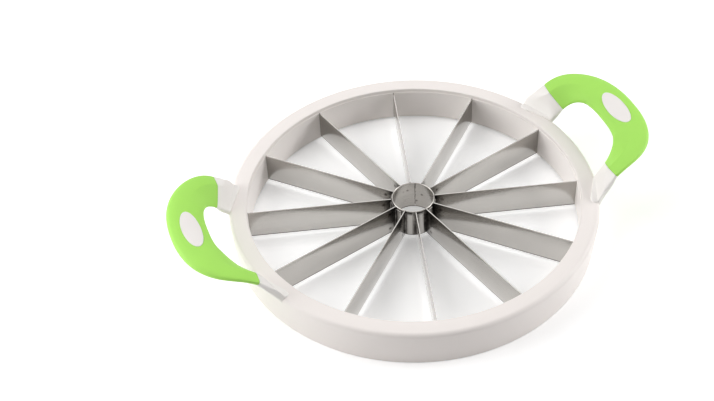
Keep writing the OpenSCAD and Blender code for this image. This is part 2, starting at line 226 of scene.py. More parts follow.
def add(tree, kind, inputs=None, **settings):
    """Adds a node with its settings and feeds its inputs."""
    made = tree.nodes.new(kind)
    for name, value in settings.items():
        setattr(made, name, value)
    feed(tree, made, inputs or {})
    return made


def placed(name, data):
    """A new object in the scene, with the given data."""
    made = bpy.data.objects.new(name, data)
    bpy.context.scene.collection.objects.link(made)
    return made


def mesh_object(name, points, faces):
    """A mesh object at the origin, from points in metres."""
    mesh = bpy.data.meshes.new(name)
    mesh.from_pydata([tuple(map(float, point)) for point in points], [], faces)
    return placed(name, mesh)


def face_outwards(mesh):
    """Turns a closed mesh right side out by the sign of its volume."""
    mesh.calc_loop_triangles()
    points = np.array([vertex.co for vertex in mesh.vertices], float)
    triangles = np.array([triangle.vertices[:] for triangle in mesh.loop_triangles])
    a, b, c = (points[triangles[:, i]] for i in range(3))
    if np.einsum("ij,ij->i", a, np.cross(b, c)).sum() < 0:
        mesh.flip_normals()


def make_plain(made):
    """Gives an object the mesh that its modifiers make, and removes them."""
    graph = bpy.context.evaluated_depsgraph_get()
    made.data = bpy.data.meshes.new_from_object(made.evaluated_get(graph))
    made.modifiers.clear()


def settle(made, material, slot, *nodes):
    """Finishes a piece: plain mesh, outward faces, material and body. The slot that it is given is
    not used.
    """
    make_plain(made)
    mesh = made.data
    face_outwards(mesh)
    mesh.shade_smooth()
    mesh.set_sharp_from_angle(angle=SMOOTH_EDGE)
    mesh.materials.clear()
    mesh.materials.append(material)
    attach(made, "root")
    if nodes:
        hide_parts(*nodes)


def remove(made):
    """Deletes a helper object, so that it isn't left as a stray piece."""
    bpy.data.objects.remove(made, do_unlink=True)


def cut_away(made, cutter):
    """Puts a cut on an object, which takes the cutter's form out of it."""
    cut = made.modifiers.new("cut", "BOOLEAN")
    cut.operation, cut.solver, cut.object = "DIFFERENCE", "EXACT", cutter


def with_tree(made, tree, values):
    """Puts a node tree on an object and sets its named inputs by identifier."""
    modifier = made.modifiers.new(tree.name, "NODES")
    modifier.node_group = tree
    names = {item.name: item.identifier for item in tree.interface.items_tree
             if item.item_type == "SOCKET" and item.in_out == "INPUT"}
    for name, value in values.items():
        modifier[names[name]] = value
    made.update_tag()


def repeated(name, points, tree, blank, material, slot, *nodes, **values):
    """A blank repeated by a tree on the given points, as one piece; the blank is deleted."""
    host = mesh_object(name, points, [])
    with_tree(host, tree, {"Blank": blank, "Material": material, **values})
    settle(host, material, slot, *nodes)
    remove(blank)


def new_tree(name, *sockets):
    """A geometry tree with a geometry input and output, the given inputs and a material."""
    tree = bpy.data.node_groups.new(name, "GeometryNodeTree")
    tree.interface.new_socket("Geometry", in_out="OUTPUT", socket_type="NodeSocketGeometry")
    for label, kind in (("Geometry", "Geometry"), *sockets, ("Material", "Material")):
        tree.interface.new_socket(label, in_out="INPUT", socket_type="NodeSocket" + kind)
    return tree, add(tree, "NodeGroupInput").outputs


def end_tree(tree, given, geometry):
    """Ends a tree: its instances become plain meshes with the given material."""
    real = add(tree, "GeometryNodeRealizeInstances", {"Geometry": geometry})
    done = add(tree, "GeometryNodeSetMaterial", {"Geometry": real, "Material": given["Material"]})
    add(tree, "NodeGroupOutput", {"Geometry": done})
    return tree


def arc(centre_r, centre_z, radius, start, stop, steps):
    """Points of an arc in the profile plane, with angles in degrees."""
    return [(centre_r + radius * math.cos(t), centre_z + radius * math.sin(t))
            for t in np.radians(np.linspace(start, stop, steps + 1))]


def ring_of(radius, count, z=0.0):
    """Points at even turns round the Z axis."""
    return [(radius * math.cos(TAU * i / count), radius * math.sin(TAU * i / count), z)
            for i in range(count)]


def bands(rows, count, base=0, closed=False):
    """Faces between rows of points that each go round once; open rows get two end faces."""
    faces = [(base + i * count + j, base + i * count + (j + 1) % count,
              base + (i + 1) % rows * count + (j + 1) % count,
              base + (i + 1) % rows * count + j)
             for i in range(rows if closed else rows - 1) for j in range(count)]
    if not closed:
        faces += [tuple(base + j for j in reversed(range(count))),
                  tuple(base + (rows - 1) * count + j for j in range(count))]
    return faces


def lathe(profile, start, stop, steps):
    """Points and faces of a closed profile turned part of the way about Z, with two end faces."""
    turns = np.linspace(start, stop, steps + 1)
    points = [(r * math.cos(t), r * math.sin(t), z) for t in turns for r, z in profile]
    # Seen along their path, these rows run the other way round than bands takes them
    return points, [face[::-1] for face in bands(steps + 1, len(profile))]


# Node trees for what repeats or follows a rule

def sweep_tree():
    """Turns a closed profile of points in the XZ plane about Z."""
    tree, given = new_tree("ring_sweep", ("Segments", "Int"))
    size = add(tree, "GeometryNodeAttributeDomainSize", {"Geometry": given["Geometry"]})
    rows = size.outputs["Point Count"]
    rows_closed = add(tree, "ShaderNodeMath", {0: rows, 1: 1.0}, operation="ADD")
    columns = add(tree, "ShaderNodeMath", {0: given["Segments"], 1: 1.0}, operation="ADD")
    grid = add(tree, "GeometryNodeMeshGrid", {"Vertices X": columns, "Vertices Y": rows_closed})
    # The grid's points count up its columns; each column is one copy of the profile
    index = add(tree, "GeometryNodeInputIndex")
    ratio = add(tree, "ShaderNodeMath", {0: index, 1: rows_closed}, operation="DIVIDE")
    column = add(tree, "ShaderNodeMath", {0: ratio}, operation="FLOOR")
    row = add(tree, "ShaderNodeMath", {0: index, 1: rows_closed}, operation="MODULO")
    row_wrapped = add(tree, "ShaderNodeMath", {0: row, 1: rows}, operation="MODULO")
    place = add(tree, "GeometryNodeInputPosition")
    point = add(tree, "GeometryNodeSampleIndex",
                {"Geometry": given["Geometry"], "Value": place, "Index": row_wrapped},
                data_type="FLOAT_VECTOR", domain="POINT")
    share = add(tree, "ShaderNodeMath", {0: column, 1: given["Segments"]}, operation="DIVIDE")
    turn = add(tree, "ShaderNodeMath", {0: share, 1: TAU}, operation="MULTIPLY")
    turned = add(tree, "ShaderNodeVectorRotate", {"Vector": point, "Angle": turn},
                 rotation_type="Z_AXIS")
    moved = add(tree, "GeometryNodeSetPosition",
                {"Geometry": grid.outputs["Mesh"], "Position": turned})
    joined = add(tree, "GeometryNodeMergeByDistance", {"Geometry": moved, "Distance": 1e-6})
    return end_tree(tree, given, joined)


def place_blanks(tree, given, points, turn):
    """Puts the given blank on every point, turned about Z, and ends the tree."""
    blank = add(tree, "GeometryNodeObjectInfo", {"Object": given["Blank"]})
    turned = add(tree, "FunctionNodeAxisAngleToRotation", {"Axis": (0.0, 0.0, 1.0), "Angle": turn})
    copies = add(tree, "GeometryNodeInstanceOnPoints",
                 {"Points": points, "Instance": blank.outputs["Geometry"], "Rotation": turned})
    return end_tree(tree, given, copies)


def spokes_tree():
    """Repeats a blank at even turns about Z."""
    tree, given = new_tree("spokes", ("Blank", "Object"), ("Count", "Int"), ("Phase", "Float"))
    points = add(tree, "GeometryNodePoints", {"Count": given["Count"]})
    index = add(tree, "GeometryNodeInputIndex")
    share = add(tree, "ShaderNodeMath", {0: index, 1: given["Count"]}, operation="DIVIDE")
    turn = add(tree, "ShaderNodeMath", {0: share, 1: TAU, 2: given["Phase"]},
               operation="MULTIPLY_ADD")
    return place_blanks(tree, given, points, turn)


def fasteners_tree():
    """Puts a screw on every point, each turned by a different amount."""
    tree, given = new_tree("fasteners", ("Blank", "Object"), ("Seed", "Int"))
    points = add(tree, "GeometryNodeMeshToPoints", {"Mesh": given["Geometry"]})
    chance = add(tree, "FunctionNodeRandomValue", {2: 0.0, 3: TAU, "Seed": given["Seed"]},
                 data_type="FLOAT")
    return place_blanks(tree, given, points, chance.outputs[1])


# Materials

# Dark scale that welding leaves on steel, also used as the painted shade along the steel's lower
# edge
SCALE_AND_SHADE_COLOUR = srgb("3A3531")


def shaded(name, **constants):
    """A new material, its tree, its shader and its Object coordinates."""
    made = bpy.data.materials.new(name)
    made.use_nodes = True
    tree = made.node_tree
    shader = tree.nodes["Principled BSDF"]
    feed(tree, shader, {label.replace("_", " "): value for label, value in constants.items()})
    return made, tree, shader, add(tree, "ShaderNodeTexCoord").outputs["Object"]


def scaled(base, share, lift=0.0):
    """A base colour made darker or lighter."""
    return [min(1.0, channel * share + lift) for channel in base[:3]] + [1.0]


def patches(tree, coords, size, detail, span, result):
    """Patches of a real size: noise over the given span, turned into the span of the result."""
    noise = add(tree, "ShaderNodeTexNoise", {"Vector": coords, "Scale": 1 / size, "Detail": detail})
    return add(tree, "ShaderNodeMapRange",
               {"Value": noise, 1: span[0], 2: span[1], 3: result[0], 4: result[1]})


def moulded_abs(name, base, rough=(0.36, 0.50)):
    """Injection-moulded ABS: a satin surface with spark-eroded grain and slow flow marks."""
    made, tree, shader, coords = shaded(name, IOR=1.54)
    # Colour drifts a little over 30 mm, as it does along the flow of the melt
    flow = add(tree, "ShaderNodeTexNoise", {"Vector": coords, "Scale": 1 / 0.030, "Detail": 3.0})
    tint = add(tree, "ShaderNodeMix", {0: flow, 6: list(base), 7: scaled(base, 0.965)},
               data_type="RGBA")
    # Handling polishes patches about 9 mm across
    satin = patches(tree, coords, 0.009, 4.0, (0.3, 0.7), rough)
    # Real grain is about 0.1 mm; it is drawn 0.7 mm wide, so that it shows at all
    grain = add(tree, "ShaderNodeTexNoise", {"Vector": coords, "Scale": 1 / 0.0007, "Detail": 2.0})
    bump = add(tree, "ShaderNodeBump", {"Strength": 0.10, "Distance": 0.00005, "Height": grain})
    feed(tree, shader, {"Base Color": tint.outputs[2], "Roughness": satin, "Normal": bump})
    return made


def soft_touch_rubber(name, base):
    """Overmoulded soft rubber: dull, faintly velvety, with a fine even grain."""
    made, tree, shader, coords = shaded(name, IOR=1.5, Sheen_Weight=0.12, Sheen_Roughness=0.4)
    # Dust and wear lift the colour a little over 14 mm
    wear = add(tree, "ShaderNodeTexNoise", {"Vector": coords, "Scale": 1 / 0.014, "Detail": 4.0})
    tint = add(tree, "ShaderNodeMix", {0: wear, 6: list(base), 7: scaled(base, 1.05, 0.006)},
               data_type="RGBA")
    # Speckle of the matt grain, drawn 0.6 mm wide
    speck = add(tree, "ShaderNodeTexVoronoi", {"Vector": coords, "Scale": 1 / 0.0006}, feature="F1")
    speck_share = add(tree, "ShaderNodeMapRange", {"Value": speck, 1: 0.1, 2: 0.9, 3: 0.0, 4: 0.10})
    mottled = add(tree, "ShaderNodeMix",
                  {0: speck_share, 6: tint.outputs[2], 7: scaled(base, 0.8)}, data_type="RGBA")
    dull = add(tree, "ShaderNodeMapRange", {"Value": wear, 1: 0.3, 2: 0.7, 3: 0.62, 4: 0.74})
    bump = add(tree, "ShaderNodeBump", {"Strength": 0.25, "Distance": 0.00008, "Height": speck})
    feed(tree, shader, {"Base Color": mottled.outputs[2], "Roughness": dull, "Normal": bump})
    return made


def rolled_steel(name, base, rough=(0.14, 0.27), smudge=0.06, spots=None, seam=None):
    """Cold-rolled stainless strip: fine level lines, faint smudges, heat tint at the welds and
    painted shade.
    """
    made, tree, shader, coords = shaded(name, Metallic=1.0)
    # Rolling lines 0.25 mm apart, some 40 mm long: they run level, along every strip
    lines = add(tree, "ShaderNodeMapping", {"Vector": coords, "Scale": (25.0, 25.0, 4000.0)})
    streaks = add(tree, "ShaderNodeTexNoise", {"Vector": lines, "Scale": 1.0, "Detail": 3.0})
    # Smudges from handling, about 12 mm across
    cloud = add(tree, "ShaderNodeTexNoise", {"Vector": coords, "Scale": 1 / 0.012, "Detail": 5.0})
    mixed = add(tree, "ShaderNodeMath", {0: cloud, 1: 0.6, 2: streaks}, operation="MULTIPLY_ADD")
    satin = add(tree, "ShaderNodeMapRange",
                {"Value": mixed, 1: 0.5, 2: 1.1, 3: rough[0], 4: rough[1]})
    dull = add(tree, "ShaderNodeMix", {0: mixed, 6: list(base), 7: scaled(base, 1 - 2 * smudge)},
               data_type="RGBA")
    # Pickling leaves a fine mottle; it is drawn 0.6 mm wide, so that it shows at all
    mottle = patches(tree, coords, 0.0006, 2.0, (0.5, 0.75), (0.0, 0.2))
    tint = add(tree, "ShaderNodeMix", {0: mottle, 6: dull.outputs[2], 7: scaled(base, 0.7)},
               data_type="RGBA").outputs[2]
    # Painted shade: a dark line along the lower edge, which fades out 1.3 mm up
    height = add(tree, "ShaderNodeSeparateXYZ", {"Vector": coords}).outputs["Z"]
    cut = add(tree, "ShaderNodeMapRange",
              {"Value": height, 1: TUBE_BOX[0].z + 0.0004, 2: TUBE_BOX[0].z + 0.0013,
               3: 0.85, 4: 0.0}, interpolation_type="SMOOTHSTEP")
    tint = add(tree, "ShaderNodeMix", {0: cut, 6: tint, 7: SCALE_AND_SHADE_COLOUR},
               data_type="RGBA").outputs[2]
    # Painted shade in the corners by the tube
    tint = painted_shade_near_tube(tree, coords, tint)
    if spots:
        tint = heat_tint(tree, coords, tint, **spots)
    if seam:
        tint = seam_tint(tree, coords, tint, *seam)
    bump = add(tree, "ShaderNodeBump", {"Strength": 0.12, "Distance": 0.00001, "Height": streaks})
    feed(tree, shader, {"Base Color": tint, "Roughness": satin, "Normal": bump})
    return made


def polar(tree, coords):
    """The coordinates' axes, and their distance from the Z axis."""
    axes = add(tree, "ShaderNodeSeparateXYZ", {"Vector": coords}).outputs
    flat = add(tree, "ShaderNodeCombineXYZ", {"X": axes["X"], "Y": axes["Y"]})
    away = add(tree, "ShaderNodeVectorMath", {0: flat}, operation="LENGTH")
    return axes, away.outputs["Value"]


def from_nearest(tree, axes, phase, pitch):
    """The angle from the nearest of the directions that repeat at a pitch round the Z axis."""
    turn = add(tree, "ShaderNodeMath", {0: axes["Y"], 1: axes["X"]}, operation="ARCTAN2")
    shifted = add(tree, "ShaderNodeMath", {0: turn, 1: phase}, operation="SUBTRACT")
    return add(tree, "ShaderNodeMath", {0: shifted, 1: pitch / 2, 2: -pitch / 2},
               operation="WRAP")


def painted_shade_near_tube(tree, coords, tint):
    """Painted shade in the corners between the tube and each blade, where shade and dark
    reflections fall, and a darker band under the tube's rim.
    """
    tube_r, top = TUBE_BOX[1].x, TUBE_BOX[1].z
    axes, away = polar(tree, coords)
    near = add(tree, "ShaderNodeMapRange",
               {"Value": away, 1: tube_r + 0.0006, 2: tube_r + 0.008, 3: 1.0, 4: 0.0},
               interpolation_type="SMOOTHSTEP")
    outside = add(tree, "ShaderNodeMath", {0: away, 1: tube_r - 0.0003},
                  operation="GREATER_THAN")
    # Blades stand half a pitch off the right handle; the painted shade ends 4 to 12 degrees off
    # them
    pitch = TAU / len(BLADES)
    local = from_nearest(tree, axes, pitch / 2, pitch)
    off = add(tree, "ShaderNodeMath", {0: local}, operation="ABSOLUTE")
    corner = add(tree, "ShaderNodeMapRange", {"Value": off, 1: 0.07, 2: 0.21, 3: 1.0, 4: 0.0},
                 interpolation_type="SMOOTHSTEP")
    # A band under the tube's rim is darkened as well; it ends 3.2 mm down
    under_rim_band = add(tree, "ShaderNodeMapRange",
               {"Value": axes["Z"], 1: top - 0.0032, 2: top - 0.0018, 3: 0.0, 4: 0.8},
               interpolation_type="SMOOTHSTEP")
    shade_and_band = add(tree, "ShaderNodeMath", {0: corner, 1: under_rim_band}, operation="MAXIMUM")
    # The painted shade is uneven over 3 mm
    share = patches(tree, coords, 0.003, 3.0, (0.3, 0.6), (0.55, 0.92))
    # Only the sides are darkened; the tops are left out
    side = add(tree, "ShaderNodeMath", {0: axes["Z"], 1: top - 0.0003}, operation="LESS_THAN")
    for factor in (near, outside, shade_and_band, side):
        share = add(tree, "ShaderNodeMath", {0: share, 1: factor}, operation="MULTIPLY")
    # Painted shade: the marked share turns dark brown
    return add(tree, "ShaderNodeMix", {0: share, 6: tint, 7: srgb("2E2A27")},
               data_type="RGBA").outputs[2]


def heat_tint(tree, coords, tint, radius, heights, size, pitch=0.0, phase=0.0):
    """Brown spots round spot welds, at a radius from the axis and at given heights.

    With a pitch, the welds also repeat round the axis at that angle."""
    axes, away = polar(tree, coords)
    along = add(tree, "ShaderNodeMath", {0: away, 1: radius}, operation="SUBTRACT")
    if pitch:
        local = from_nearest(tree, axes, phase, pitch)
        # The inside of the tube keeps clear: there the spots are pushed out of reach
        inside = add(tree, "ShaderNodeMath", {0: away, 1: radius - 0.0002}, operation="LESS_THAN")
        clear = add(tree, "ShaderNodeMath", {0: local, 1: inside}, operation="ADD")
        along = add(tree, "ShaderNodeMath", {0: clear, 1: radius}, operation="MULTIPLY")
    # The spots' edges are ragged over 1.5 mm, and spots 9 mm apart aren't burnt alike
    ragged = add(tree, "ShaderNodeTexNoise",
                 {"Vector": coords, "Scale": 1 / 0.0015, "Detail": 3.0})
    burnt = patches(tree, coords, 0.009, 2.0, (0.36, 0.50), (0.3, 1.0))
    for height in heights:
        up = add(tree, "ShaderNodeMath", {0: axes["Z"], 1: height}, operation="SUBTRACT")
        offset = add(tree, "ShaderNodeCombineXYZ", {"X": along, "Y": up})
        reach = add(tree, "ShaderNodeVectorMath", {0: offset}, operation="LENGTH")
        edge = add(tree, "ShaderNodeMath", {0: ragged, 1: size * 0.9, 2: reach.outputs["Value"]},
                   operation="MULTIPLY_ADD")
        share = add(tree, "ShaderNodeMapRange",
                    {"Value": edge, 1: size * 0.7, 2: size * 1.8, 3: 0.85, 4: 0.0},
                    interpolation_type="SMOOTHSTEP")
        deep = add(tree, "ShaderNodeMath", {0: share, 1: burnt}, operation="MULTIPLY")
        tint = add(tree, "ShaderNodeMix", {0: deep, 6: tint, 7: srgb("3E3630")},
                   data_type="RGBA").outputs[2]
    return tint


def seam_tint(tree, coords, tint, turn, radius, width):
    """A dark, uneven line with a few blots along the tube's butt seam, on its inside."""
    place = (radius * math.cos(turn), radius * math.sin(turn), 0.0)
    flat = add(tree, "ShaderNodeVectorMath", {0: coords, 1: (1.0, 1.0, 0.0)}, operation="MULTIPLY")
    away = add(tree, "ShaderNodeVectorMath", {0: flat, 1: place}, operation="DISTANCE")
    # The line swells and thins over 2.5 mm
    reach = patches(tree, coords, 0.0025, 3.0, (0.40, 0.65), (width * 0.9, width * 2.6))
    share = add(tree, "ShaderNodeMath", {0: away.outputs["Value"], 1: reach}, operation="DIVIDE")
    line = add(tree, "ShaderNodeMapRange", {"Value": share, 1: 0.6, 2: 1.1, 3: 0.85, 4: 0.0},
               interpolation_type="SMOOTHSTEP")
    # A few burnt specks, one to every 4.5 mm or so, lie scattered beside the seam
    specks = add(tree, "ShaderNodeTexVoronoi", {"Vector": coords, "Scale": 1 / 0.0045},
                 feature="F1")
    speck = add(tree, "ShaderNodeMapRange", {"Value": specks, 1: 0.12, 2: 0.28, 3: 0.6, 4: 0.0},
                interpolation_type="SMOOTHSTEP")
    dark = add(tree, "ShaderNodeMath", {0: line, 1: speck}, operation="MAXIMUM")
    return add(tree, "ShaderNodeMix", {0: dark, 6: tint, 7: SCALE_AND_SHADE_COLOUR},
               data_type="RGBA").outputs[2]


def plated_steel(name, base):
    """Zinc-plated screw: bright plating, slightly cloudy over 2 mm."""
    made, tree, shader, coords = shaded(name, Metallic=1.0)
    cloud = add(tree, "ShaderNodeTexNoise", {"Vector": coords, "Scale": 1 / 0.002, "Detail": 3.0})
    tint = add(tree, "ShaderNodeMix", {0: cloud, 6: list(base), 7: scaled(base, 0.8)},
               data_type="RGBA")
    satin = add(tree, "ShaderNodeMapRange", {"Value": cloud, 1: 0.3, 2: 0.7, 3: 0.28, 4: 0.44})
    feed(tree, shader, {"Base Color": tint.outputs[2], "Roughness": satin})
    return made


# Ring

def ring_profile(sizes):
    """The ring's section: rounded outer top edge, flat top, lip, inner skirt and open channel."""
    open_r, base_r = sizes.outer_r - sizes.rim_w, sizes.outer_r - sizes.draft
    skirt_in = open_r - sizes.liner_proud + sizes.liner_t + THIN_GAP
    skirt_out = skirt_in + sizes.skirt_t
    skirt_foot = BASE_BOX[0].z + sizes.base_t + SEAT_GAP
    # At the channel's top the draft has all but run out
    under, wall_in = LINER_BOX[1].z, sizes.outer_r - sizes.draft * 0.1 - sizes.wall
    edge_r, lip_r, foot_r = sizes.edge_r, sizes.lip_r, sizes.foot_r
    return (arc(base_r - foot_r, foot_r, foot_r, -90, 0, 4)
            + arc(sizes.outer_r - edge_r, sizes.height - edge_r, edge_r, 0, 90, 12)
            + arc(open_r + lip_r, sizes.height - lip_r, lip_r, 90, 180, 6)
            + [(open_r, under), (skirt_in, under), (skirt_in, skirt_foot),
               (skirt_out, skirt_foot), (skirt_out, under), (wall_in, under)]
            + arc(base_r - sizes.wall + foot_r, foot_r, foot_r, 180, 270, 4))


def liner_profile(sizes):
    """The liner's section, with the edges of its inner face broken."""
    inner = sizes.outer_r - sizes.rim_w - sizes.liner_proud
    outer, low, high, broken = inner + sizes.liner_t, LINER_BOX[0].z, LINER_BOX[1].z, 0.00012
    return [(inner + broken, low), (outer, low), (outer, high), (inner + broken, high),
            (inner, high - broken), (inner, low + broken)]


class SLICER_OT_ring(bpy.types.Operator):
    """Make the hollow ring, its liner and its closing ring"""
    bl_idname = "slicer.ring"
    bl_label = "Ring"

    def execute(self, context):
        sizes, finishes = context.scene.slicer_ring, context.scene.slicer_finishes
        tree = sweep_tree()
        ring_white = moulded_abs("moulded_abs_ring", finishes.ring)
        liner_white = moulded_abs("moulded_abs_liner", finishes.liner, rough=(0.42, 0.54))
        for name, profile, white, slot, node in (
                ("ring_shell", ring_profile(sizes), ring_white, "ring_white", "upper_rim"),
                ("liner_shell", liner_profile(sizes), liner_white, "liner_white", "inner_liner")):
            shell = mesh_object(name, [(r, 0.0, z) for r, z in profile], [])
            with_tree(shell, tree, {"Segments": sizes.segments, "Material": white})
            settle(shell, white, slot, node)
        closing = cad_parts["lower_rim"]
        closing.data.materials.clear()
        closing.data.materials.append(
            moulded_abs("moulded_abs_base", finishes.base, rough=(0.45, 0.6)))
        return {"FINISHED"}


# Blades, tube and weld marks

def blade_blank(sizes, tube_r, liner_r):
    """One blade along X: a ground strip with broken upper edges, and its bent weld tab."""
    low, high, half, broken = TUBE_BOX[0].z, TUBE_BOX[1].z, sizes.thickness / 2, sizes.back_r
    foot, top = low + sizes.bevel_h, high - sizes.tab_drop
    side = [(sizes.bevel_tip / 2, low), (half, foot), (half, high - broken),
            (half - broken * 0.3, high - broken * 0.3), (half - broken, high)]
    section = side + [(-y, z) for y, z in reversed(side)]
    tab_r = tube_r + THIN_GAP
    tab_out = tab_r + sizes.thickness
    places = np.linspace(tab_r + half, liner_r + sizes.end_lap, 25)
    points = [(x, y, z) for x in places for y, z in section]
    faces = bands(len(places), len(section))
    tab = [(tab_r, foot), (tab_out - broken, foot), (tab_out, foot + broken),
           (tab_out, top - broken), (tab_out - broken, top), (tab_r, top)]
    tab_points, tab_faces = lathe(tab, -half / tab_r, sizes.tab_w / tab_r, 14)
    faces += [tuple(len(points) + i for i in face) for face in tab_faces]
    points += tab_points
    # A web fills the corner of the bend; it starts inside the tab and inside the strip
    bend_r, web_x, web_y = sizes.bend_r, tab_r + sizes.thickness * 0.6, half * 0.5
    corner = [(tab_out + bend_r, web_y)]
    corner += [(tab_out + bend_r - bend_r * math.sin(t), half + bend_r - bend_r * math.cos(t))
               for t in np.radians(np.linspace(0, 90, 7))]
    corner += [(web_x, half + bend_r), (web_x, web_y)]
    faces += bands(2, len(corner), len(points))
    points += [(x, y, z) for z in (foot, top - broken) for x, y in corner]
    return mesh_object("blade_blank", points, faces)


class SLICER_OT_blades(bpy.types.Operator):
    """Make the twelve blades from one blank"""
    bl_idname = "slicer.blades"
    bl_label = "Blades"

    def execute(self, context):
        scene = context.scene
        sizes, tube_r = scene.slicer_blades, TUBE_BOX[1].x
        # Burnt spots lie beside the tube, near the blade's foot and top
        spot_off, spot_in = 0.0055, 0.0045
        steel = rolled_steel("cold_rolled_strip", scene.slicer_finishes.blade, spots={
            "radius": tube_r + spot_off, "size": 0.0013,
            "heights": (TUBE_BOX[0].z + spot_in, TUBE_BOX[1].z - spot_in)})
        blank = blade_blank(sizes, tube_r, LINER_BOX[1].x - scene.slicer_ring.liner_t)
        repeated("blades", AXIS_POINT, spokes_tree(), blank, steel, "blade_steel", *BLADES,
                 Count=sizes.count, Phase=math.pi / sizes.count)
        return {"FINISHED"}


def weld_blank(radius, out, tube_r, heights):
    """Spot-weld marks at one direction: shallow domes with a dimple, one at each height."""
    # Each ring of a dome: its share of the radius and of the height
    rings = [(1.0, -0.3), (0.86, 0.55), (0.66, 1.0), (0.42, 0.8), (0.18, 0.45)]
    sides = 12
    points, faces = [], []
    for height in heights:
        faces += bands(len(rings), sides, len(points))
        for share, up in rings:
            for y, z, _ in ring_of(radius * share, sides):
                points.append((math.sqrt(tube_r ** 2 - y ** 2) + out * up, y, height + z))
    return mesh_object("weld_blank", points, faces)


class SLICER_OT_core_tube(bpy.types.Operator):
    """Make the rolled core tube and the weld marks round it"""
    bl_idname = "slicer.core_tube"
    bl_label = "Core tube"

    def execute(self, context):
        scene = context.scene
        sizes, count = scene.slicer_tube, scene.slicer_blades.count
        outer, inner = TUBE_BOX[1].x, TUBE_BOX[1].x - sizes.wall
        low, high, broken = TUBE_BOX[0].z, TUBE_BOX[1].z, 0.00015
        # The welds sit on the tabs: near both ends, a little off the middle between two blades
        foot_in, rim_in, pitch = 0.0045, 0.0042, TAU / count
        heights, phase = (low + foot_in, high - rim_in), -0.08 * pitch
        steel = rolled_steel(
            "rolled_tube", scene.slicer_finishes.tube, rough=(0.18, 0.30), smudge=0.12,
            spots={"radius": outer, "size": 0.0011, "heights": heights, "pitch": pitch,
                   "phase": phase},
            seam=(sizes.seam_at, inner, sizes.seam_w))
        profile = [(inner + broken, low), (outer - broken, low), (outer, low + broken),
                   (outer, high - broken), (outer - broken, high), (inner + broken, high),
                   (inner, high - broken), (inner, low + broken)]
        half_seam = sizes.seam_w / 2 / outer
        points, faces = lathe(profile, sizes.seam_at + half_seam,
                              sizes.seam_at + TAU - half_seam, 144)
        settle(mesh_object("core_tube_shell", points, faces), steel, "tube_steel", "core_tube")
        marks = weld_blank(sizes.weld_r, sizes.weld_out, outer, heights)
        repeated("weld_marks", AXIS_POINT, spokes_tree(), marks, steel, "tube_steel",
                 Count=count, Phase=phase)
        return {"FINISHED"}


# Handles: the rule of the part's source, with finer lips, creases and sides

def mix(a, b, share):
    """A value between a and b."""
    return a + (b - a) * share


def smooth(x):
    """An S curve from 0 to 1."""
    x = min(1.0, max(0.0, x))
    return x * x * (3 - 2 * x)


def signed_power(x, power):
    """A power that keeps the sign."""
    return np.sign(x) * np.abs(x) ** power


